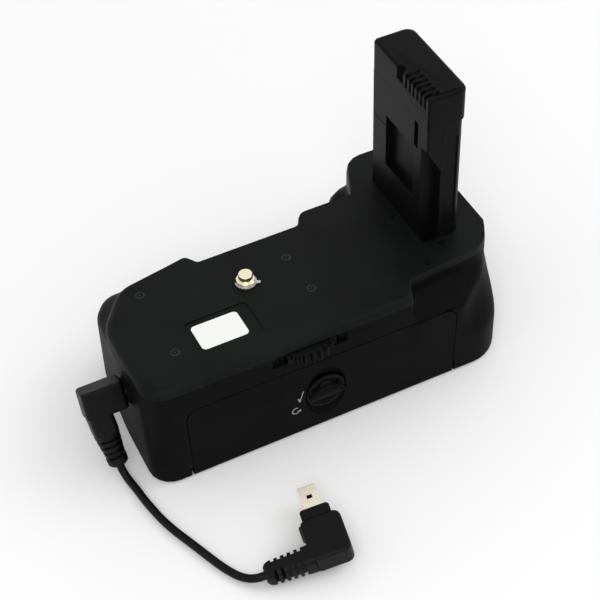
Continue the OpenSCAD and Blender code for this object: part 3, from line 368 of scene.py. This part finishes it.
def smoothed(node_name, angle_deg, edge_mm=0.0):
    """A merged copy of a CAD node with soft shading over its small facets, and eased edges."""
    mesh = nodes[node_name].data.copy()
    mesh.name = node_name + "_skin"
    work = bmesh.new()
    work.from_mesh(mesh)
    bmesh.ops.remove_doubles(work, verts=work.verts, dist=MERGE * MM)
    bmesh.ops.dissolve_degenerate(work, edges=work.edges, dist=SLIVER * MM)
    bmesh.ops.dissolve_limit(work, angle_limit=math.radians(FLAT_DEG), verts=work.verts, edges=work.edges)
    work.to_mesh(mesh)
    work.free()
    if mesh.has_custom_normals:
        mesh.normals_split_custom_set([(0, 0, 0)] * len(mesh.loops))
    mesh.shade_smooth()
    mesh.set_sharp_from_angle(angle=math.radians(angle_deg))
    piece = add_piece(node_name + "_skin", mesh, NODE_FINISH[node_name], node_name, [node_name])
    if edge_mm:
        bevel = piece.modifiers.new("eased edges", "BEVEL")
        bevel.width = edge_mm * MM
        bevel.segments = EDGE_SEGMENTS
        bevel.limit_method = "ANGLE"
        bevel.angle_limit = math.radians(EDGE_DEG)
        bevel.use_clamp_overlap = True
    weighted = piece.modifiers.new("flat faces stay flat", "WEIGHTED_NORMAL")
    weighted.keep_sharp = True
    weighted.weight = NORMAL_WEIGHT


def mesh_from(name, points, faces):
    """A mesh from points in millimetres, with its faces turned outwards."""
    mesh = bpy.data.meshes.new(name)
    mesh.from_pydata([Vector(p) * MM for p in points], [], faces)
    work = bmesh.new()
    work.from_mesh(mesh)
    bmesh.ops.recalc_face_normals(work, faces=work.faces)
    work.to_mesh(mesh)
    work.free()
    return mesh


def arc(centre, radius, start_deg, end_deg, steps):
    """Points of an arc in a plane."""
    turn = [math.radians(start_deg + (end_deg - start_deg) * i / steps) for i in range(steps + 1)]
    return [(centre[0] + radius * math.cos(a), centre[1] + radius * math.sin(a)) for a in turn]


def rounded_box(x0, x1, y0, y1, r, steps):
    """The outline of a rectangle with round corners, counter-clockwise."""
    return (arc((x1 - r, y0 + r), r, -90, 0, steps) + arc((x1 - r, y1 - r), r, 0, 90, steps)
            + arc((x0 + r, y1 - r), r, 90, 180, steps) + arc((x0 + r, y0 + r), r, 180, 270, steps))


def side_faces(rows, count):
    """The four-sided faces between rows of points that close on themselves."""
    faces = []
    for r in range(rows):
        for k in range(count):
            a, b = r * count + k, r * count + (k + 1) % count
            faces.append((a, b, b + count, a + count))
    return faces


def stacked(name, outlines, lift):
    """A closed solid through outlines of equal length; lift places a plane point at a level."""
    count = len(outlines[0][1])
    rows = len(outlines) - 1
    points = [lift(p, level) for level, outline in outlines for p in outline]
    faces = [tuple(range(count)), tuple(range(rows * count, (rows + 1) * count))]
    return mesh_from(name, points, faces + side_faces(rows, count))


class GripLook(bpy.types.PropertyGroup):
    """Colours of the grip's finishes, as hex values, and the sizes of what is added to the solids."""

    shell_dark: StringProperty(
        name="Shell, dark", description="Darker tone of the moulded shell", default="#090909")
    shell_light: StringProperty(
        name="Shell, light", description="Lighter tone of the moulded shell", default="#0d0d0d")
    plate_dark: StringProperty(
        name="Plate, dark", description="Darker tone of the plate", default="#0c0e0d")
    plate_light: StringProperty(
        name="Plate, light", description="Lighter tone of the plate", default="#121513")
    smooth_dark: StringProperty(
        name="Smooth, dark", description="Darker tone of smooth parts", default="#0a0a0a")
    smooth_light: StringProperty(
        name="Smooth, light", description="Lighter tone of smooth parts", default="#0f0f0f")
    nickel: StringProperty(
        name="Nickel", description="Plating of the camera screw", default="#efe6cb")
    label_w: FloatProperty(
        name="Label width", description="Length of the paper label", default=16.4 * MM, unit="LENGTH")
    label_h: FloatProperty(
        name="Label height", description="Width of the paper label", default=11.0 * MM, unit="LENGTH")
    cord_d: FloatProperty(
        name="Lead diameter", description="Outside of the lead", default=2.7 * MM, unit="LENGTH")
    thread_pitch: FloatProperty(
        name="Thread pitch", description="Rise of the camera screw's thread in a turn",
        default=1.27 * MM, unit="LENGTH")


class StageLook(bpy.types.PropertyGroup):
    """The studio around the grip."""

    floor: StringProperty(
        name="Floor", description="Colour of the table", default="#f7f7f7")
    world: FloatProperty(
        name="Room light", description="Strength of the even light from the room", default=0.8)
    key: FloatProperty(
        name="Key light", description="Power of the large soft lamp", default=7.5, unit="POWER")
    fill: FloatProperty(
        name="Fill light", description="Power of the opposite soft lamp", default=3.0, unit="POWER")


class GRIP_OT_stage(bpy.types.Operator):
    """Makes the camera, the room, the soft lamps and the table"""

    bl_idname = "grip.stage"
    bl_label = "Stage"

    def execute(self, context):
        look = context.scene.stage_look
        scene = context.scene
        scene.view_settings.view_transform = "Standard"
        data = bpy.data.cameras.new("photo_camera")
        data.sensor_width = SENSOR_MM
        data.lens = LENS_MM
        data.clip_start = CLIP_NEAR
        data.clip_end = CLIP_FAR
        camera = bpy.data.objects.new("photo_camera", data)
        scene.collection.objects.link(camera)
        axes = Matrix((CAMERA_RIGHT, CAMERA_UP, CAMERA_BACK)).transposed().to_4x4()
        camera.matrix_world = Matrix.Translation(Vector(CAMERA_AT) * MM) @ axes
        scene.camera = camera

        world = bpy.data.worlds.new("studio_room")
        scene.world = world
        world.use_nodes = True
        tree = world.node_tree
        ground = tree.nodes["Background"]
        ground.inputs["Color"].default_value = WHITE
        ground.inputs["Strength"].default_value = look.world
        # The room looks white to the camera and in reflections, and lights the grip a little less
        seen = node(tree, "ShaderNodeBackground", values={"Color": WHITE, "Strength": 1.0})
        path = node(tree, "ShaderNodeLightPath").outputs
        shown = path["Is Camera Ray"]
        for ray in ("Is Glossy Ray", "Is Transmission Ray"):
            shown = node(tree, "ShaderNodeMath", {"operation": "MAXIMUM"},
                         links={0: shown, 1: path[ray]}).outputs["Value"]
        mix = node(tree, "ShaderNodeMixShader", links={0: shown, 1: ground.outputs[0], 2: seen.outputs[0]})
        tree.links.new(mix.outputs[0], tree.nodes["World Output"].inputs["Surface"])

        for (name, at, size), power in ((KEY_LAMP, look.key), (FILL_LAMP, look.fill)):
            lamp = bpy.data.lights.new(name, "AREA")
            lamp.energy = power
            lamp.shape = "DISK"
            lamp.size = size
            holder = bpy.data.objects.new(name, lamp)
            scene.collection.objects.link(holder)
            holder.location = at
            holder.rotation_euler = (Vector(LAMP_AIM) - Vector(at)).to_track_quat("-Z", "Y").to_euler()

        corners = ((-TABLE_HALF, -TABLE_HALF), (TABLE_HALF, -TABLE_HALF), (TABLE_HALF, TABLE_HALF),
                   (-TABLE_HALF, TABLE_HALF))
        floor_mesh = bpy.data.meshes.new("table")
        floor_mesh.from_pydata([(x, y, TABLE_LEVEL) for x, y in corners], [], [(0, 1, 2, 3)])
        table = bpy.data.objects.new("table", floor_mesh)
        scene.collection.objects.link(table)
        material, tree, shader, place = new_material("White acrylic table", look.floor, 0.7, specular=0.2)
        speck = noise(tree, place, 40, 2.0).outputs["Fac"]
        rough_between(tree, shader, speck, 0.66, 0.74)
        floor_mesh.materials.append(material)
        return {"FINISHED"}


class GRIP_OT_lead(bpy.types.Operator):
    """Makes the round lead between the two plugs"""

    bl_idname = "grip.lead"
    bl_label = "Lead"

    def execute(self, context):
        look = context.scene.grip_look
        curve = bpy.data.curves.new("lead", "CURVE")
        curve.dimensions = "3D"
        curve.bevel_depth = look.cord_d / 2
        curve.bevel_resolution = 5
        curve.use_fill_caps = True
        route = [Vector(p) * MM for p in CORD_ROUTE]
        line = curve.splines.new("POLY")
        fine = smooth_path(route, CORD_STEPS)
        line.points.add(len(fine) - 1)
        for point, at in zip(line.points, fine):
            point.co = (*at, 1.0)
        line.use_smooth = True
        curve.materials.append(MATERIALS["soft_pvc"])
        lead = bpy.data.objects.new("lead", curve)
        context.scene.collection.objects.link(lead)
        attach(lead, "grip")
        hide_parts("cord")
        return {"FINISHED"}


def smooth_path(points, steps):
    """Points of a smooth curve through a route."""
    out = []
    for i in range(len(points) - 1):
        a, b, c, d = (points[min(max(i + k, 0), len(points) - 1)] for k in (-1, 0, 1, 2))
        for s in range(steps):
            t = s / steps
            out.append(0.5 * (2 * b + (c - a) * t + (2 * a - 5 * b + 4 * c - d) * t * t
                              + (3 * b - a - 3 * c + d) * t ** 3))
    return out + [points[-1]]


class GRIP_OT_mouldings(bpy.types.Operator):
    """Dresses the housing, the plate, the door, the dummy pack and the other mouldings"""

    bl_idname = "grip.mouldings"
    bl_label = "Mouldings"

    def execute(self, context):
        for name, (angle, edge) in SKINS.items():
            smoothed(name, angle, edge)
        for name in PAINTED_MOULDINGS:
            paint(name)
        return {"FINISHED"}


class GRIP_OT_metal(bpy.types.Operator):
    """Gives the metal parts their platings and the camera screw its thread"""

    bl_idname = "grip.metal"
    bl_label = "Metal parts"

    def execute(self, context):
        look = context.scene.grip_look
        for name in PAINTED_METAL:
            paint(name)
        smoothed("camera_screw", SCREW_SHARP_DEG)
        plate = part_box("top_cover")[1].z / MM
        thread = threaded_stub(plate + THREAD_FROM, plate + THREAD_TO, look.thread_pitch / MM)
        add_piece("camera_screw_thread", thread, "nickel", "camera_screw")
        return {"FINISHED"}


def threaded_stub(start, end, pitch):
    """A helical ridge around the camera screw, just above the screw's own wall."""
    points = []
    for r in range(THREAD_ROWS + 1):
        z = start + (end - start) * r / THREAD_ROWS
        fade = min(1.0, THREAD_FADE * r / THREAD_ROWS, THREAD_FADE * (THREAD_ROWS - r) / THREAD_ROWS)
        for k in range(THREAD_AROUND):
            wave = abs(2 * ((z / pitch - k / THREAD_AROUND) % 1.0) - 1)
            radius = THREAD_CREST - THREAD_DEPTH * wave - (1 - fade) * THREAD_DEPTH
            a = 2 * math.pi * k / THREAD_AROUND
            points.append((radius * math.cos(a), radius * math.sin(a), z))
    faces = side_faces(THREAD_ROWS, THREAD_AROUND)
    faces.append(tuple(range(THREAD_AROUND - 1, -1, -1)))
    faces.append(tuple(range(THREAD_ROWS * THREAD_AROUND, (THREAD_ROWS + 1) * THREAD_AROUND)))
    mesh = mesh_from("camera_screw_thread", points, faces)
    mesh.shade_smooth()
    mesh.set_sharp_from_angle(angle=math.radians(THREAD_SHARP_DEG))
    return mesh


class GRIP_OT_screws(bpy.types.Operator):
    """Sets the small countersunk screws in the plate and in the base"""

    bl_idname = "grip.screws"
    bl_label = "Screws"

    def execute(self, context):
        for node_name, (head_r, shank_r, upward) in SCREWS.items():
            low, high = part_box(node_name)
            places = solid_centres(nodes[node_name].data)
            level = high.z / MM if upward else low.z / MM
            mesh = bpy.data.meshes.new(node_name + "_places")
            mesh.from_pydata([Vector((x, y, level)) * MM for x, y in places], [], [])
            holder = bpy.data.objects.new(node_name + "_heads", mesh)
            context.scene.collection.objects.link(holder)
            tree = screw_tree(MATERIALS["black_steel"])
            modifier = holder.modifiers.new("screws", "NODES")
            modifier.node_group = tree
            sizes = {"Head radius": head_r * MM, "Shank radius": shank_r * MM,
                     "Head depth": SCREW_HEAD_DEPTH * MM, "Length": high.z - low.z,
                     "Recess": SCREW_RECESS * MM, "Turn": 0.0 if upward else math.pi}
            for socket in tree.interface.items_tree:
                if socket.item_type == "SOCKET" and socket.name in sizes:
                    modifier[socket.identifier] = sizes[socket.name]
            evaluated = holder.evaluated_get(context.evaluated_depsgraph_get())
            final = bpy.data.meshes.new_from_object(evaluated)
            bpy.data.objects.remove(holder)
            final.name = node_name + "_heads"
            final.set_sharp_from_angle(angle=math.radians(SCREW_SHARP_DEG))
            add_piece(node_name + "_heads", final, "black_steel", node_name, [node_name])
        return {"FINISHED"}


def solid_centres(mesh):
    """The middle of each separate solid of a node, in plan and in millimetres."""
    work = bmesh.new()
    work.from_mesh(mesh)
    bmesh.ops.remove_doubles(work, verts=work.verts, dist=NEAR * MM)
    left, found = set(work.verts), []
    while left:
        todo, group = [left.pop()], []
        while todo:
            v = todo.pop()
            group.append(v)
            for e in v.link_edges:
                o = e.other_vert(v)
                if o in left:
                    left.remove(o)
                    todo.append(o)
        xs, ys = [v.co.x for v in group], [v.co.y for v in group]
        found.append(((min(xs) + max(xs)) / 2 / MM, (min(ys) + max(ys)) / 2 / MM))
    work.free()
    return sorted(found)


def screw_tree(material):
    """Geometry nodes: a countersunk screw with a cross recess on each point."""
    tree = bpy.data.node_groups.new("countersunk_screws", "GeometryNodeTree")
    tree.interface.new_socket("Geometry", in_out="INPUT", socket_type="NodeSocketGeometry")
    for name in ("Head radius", "Shank radius", "Head depth", "Length", "Recess", "Turn"):
        tree.interface.new_socket(name, in_out="INPUT", socket_type="NodeSocketFloat")
    tree.interface.new_socket("Geometry", in_out="OUTPUT", socket_type="NodeSocketGeometry")
    given = node(tree, "NodeGroupInput").outputs

    def times(size, factor):
        return node(tree, "ShaderNodeMath", {"operation": "MULTIPLY"}, {1: factor},
                    {0: size}).outputs["Value"]

    def moved(geometry, z):
        up = node(tree, "ShaderNodeCombineXYZ", links={"Z": z}).outputs["Vector"]
        return node(tree, "GeometryNodeTransform",
                    links={"Geometry": geometry, "Translation": up}).outputs["Geometry"]

    head = node(tree, "GeometryNodeMeshCone", values={"Vertices": HEAD_SIDES, "Side Segments": 2},
                links={"Radius Top": given["Head radius"], "Radius Bottom": given["Shank radius"],
                       "Depth": given["Head depth"]}).outputs["Mesh"]
    head = moved(head, times(given["Head depth"], -1.0))
    shank = node(tree, "GeometryNodeMeshCylinder", values={"Vertices": SHANK_SIDES},
                 links={"Radius": given["Shank radius"], "Depth": given["Length"]}).outputs["Mesh"]
    shank = moved(shank, times(given["Length"], -0.5))
    wing_length = times(given["Head radius"], WING_SHARE)
    cut = node(tree, "GeometryNodeMeshBoolean", {"operation": "DIFFERENCE"}, links={"Mesh 1": head})
    for along, across in (("X", "Y"), ("Y", "X")):
        size = node(tree, "ShaderNodeCombineXYZ",
                    links={along: wing_length, across: given["Recess"],
                           "Z": given["Head depth"]}).outputs["Vector"]
        wing = node(tree, "GeometryNodeMeshCube", links={"Size": size}).outputs["Mesh"]
        tree.links.new(wing, cut.inputs["Mesh 2"])
    screw = node(tree, "GeometryNodeJoinGeometry", links={"Geometry": shank})
    tree.links.new(cut.outputs["Mesh"], screw.inputs["Geometry"])
    turn = node(tree, "ShaderNodeCombineXYZ", links={"X": given["Turn"]}).outputs["Vector"]
    spin = node(tree, "FunctionNodeEulerToRotation", links={"Euler": turn}).outputs["Rotation"]
    placed = node(tree, "GeometryNodeInstanceOnPoints",
                  links={"Points": given["Geometry"], "Instance": screw.outputs["Geometry"],
                         "Rotation": spin}).outputs["Instances"]
    real = node(tree, "GeometryNodeRealizeInstances", links={"Geometry": placed}).outputs["Geometry"]
    done = node(tree, "GeometryNodeSetMaterial", values={"Material": material}, links={"Geometry": real})
    node(tree, "NodeGroupOutput", links={"Geometry": done.outputs["Geometry"]})
    return tree


class GRIP_OT_pads(bpy.types.Operator):
    """Makes the soft foam pads inside the door"""

    bl_idname = "grip.pads"
    bl_label = "Foam pads"

    def execute(self, context):
        low, high = (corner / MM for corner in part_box("door_pads"))
        rows = [(low.y + step, inset) for step, inset in PAD_FOOT]
        rows += [(high.y - step, inset) for step, inset in PAD_FACE]
        for side, x0, x1 in (("left", low.x, low.x + PAD_WIDTH), ("right", high.x - PAD_WIDTH, high.x)):
            outlines = [(y, rounded_box(x0 + d, x1 - d, low.z + d, high.z - d, PAD_ROUND, PAD_STEPS))
                        for y, d in rows]
            mesh = stacked("door_pad_" + side, outlines, lambda p, y: (p[0], y, p[1]))
            mesh.shade_smooth()
            pad = add_piece("door_pad_" + side, mesh, "foam", "door_pads",
                            ["door_pads"] if side == "left" else ())
        return {"FINISHED"}


class GRIP_OT_marks(bpy.types.Operator):
    """Sticks the plain label on the plate and prints the turn marks beside the knob"""

    bl_idname = "grip.marks"
    bl_label = "Label and marks"

    def execute(self, context):
        look = context.scene.grip_look
        x, y = LABEL_AT
        w, h = look.label_w / MM, look.label_h / MM
        outlines = [(LABEL_FLOOR + z, rounded_box(x + d, x + w - d, y + d, y + h - d, LABEL_ROUND - d,
                                                  LABEL_STEPS)) for z, d in LABEL_ROWS]
        label = stacked("paper_label", outlines, lambda p, z: (p[0], p[1], z))
        add_piece("paper_label", label, "label", "top_cover")
        for name, outline in (("open_mark", TICK), ("turn_mark", turn_arrow())):
            add_piece(name, inked(name, outline), "ink", "battery_door")
        return {"FINISHED"}


def turn_arrow():
    """An open ring with an arrow's head at its end."""
    x, y = RING_AT
    outer = arc(RING_AT, RING_RADIUS, RING_FROM, RING_TO, RING_STEPS)
    inner = arc(RING_AT, RING_RADIUS - RING_WIDTH, RING_TO, RING_FROM, RING_STEPS)
    end = math.radians(RING_TO)
    mid = RING_RADIUS - RING_WIDTH / 2
    across = [(x + r * math.cos(end), y + r * math.sin(end))
              for r in (mid + ARROW_HALF, mid, mid - ARROW_HALF)]
    tip = (across[1][0] + ARROW_TIP[0], across[1][1] + ARROW_TIP[1])
    return outer + [across[0], tip, across[2]] + inner


def inked(name, outline):
    """A flat print on the door's face, standing a hair above it."""
    work = bmesh.new()
    verts = [work.verts.new(Vector((x, DOOR_FACE - PRINT_PROUD, z)) * MM) for x, z in outline]
    work.faces.new(verts)
    solid = bmesh.ops.extrude_face_region(work, geom=work.faces[:])
    moved = [v for v in solid["geom"] if isinstance(v, bmesh.types.BMVert)]
    bmesh.ops.translate(work, verts=moved, vec=Vector((0, PRINT_THICK, 0)) * MM)
    bmesh.ops.triangulate(work, faces=[f for f in work.faces if len(f.verts) > 4])
    bmesh.ops.recalc_face_normals(work, faces=work.faces)
    mesh = bpy.data.meshes.new(name)
    work.to_mesh(mesh)
    work.free()
    return mesh


class GRIP_PT_panel(bpy.types.Panel):
    """The steps that dress the grip"""

    bl_idname = "GRIP_PT_panel"
    bl_label = "Battery grip"
    bl_space_type = "VIEW_3D"
    bl_region_type = "UI"
    bl_category = "Battery grip"

    def draw(self, context):
        for step in STEPS:
            self.layout.operator(step.bl_idname)
        for look in (context.scene.grip_look, context.scene.stage_look):
            for name in look.__annotations__:
                self.layout.prop(look, name)


STEPS = (GRIP_OT_stage, GRIP_OT_mouldings, GRIP_OT_lead, GRIP_OT_metal, GRIP_OT_screws, GRIP_OT_pads,
         GRIP_OT_marks)
CLASSES = (GripLook, StageLook, *STEPS, GRIP_PT_panel)


def register():
    for cls in CLASSES:
        bpy.utils.register_class(cls)
    bpy.types.Scene.grip_look = PointerProperty(type=GripLook)
    bpy.types.Scene.stage_look = PointerProperty(type=StageLook)


def unregister():
    del bpy.types.Scene.stage_look
    del bpy.types.Scene.grip_look
    for cls in reversed(CLASSES):
        bpy.utils.unregister_class(cls)


def main():
    register()
    MATERIALS.update(make_materials(bpy.context.scene.grip_look))
    for step in STEPS:
        getattr(bpy.ops.grip, step.bl_idname.split(".")[1])()


if __name__ == "__main__":
    main()
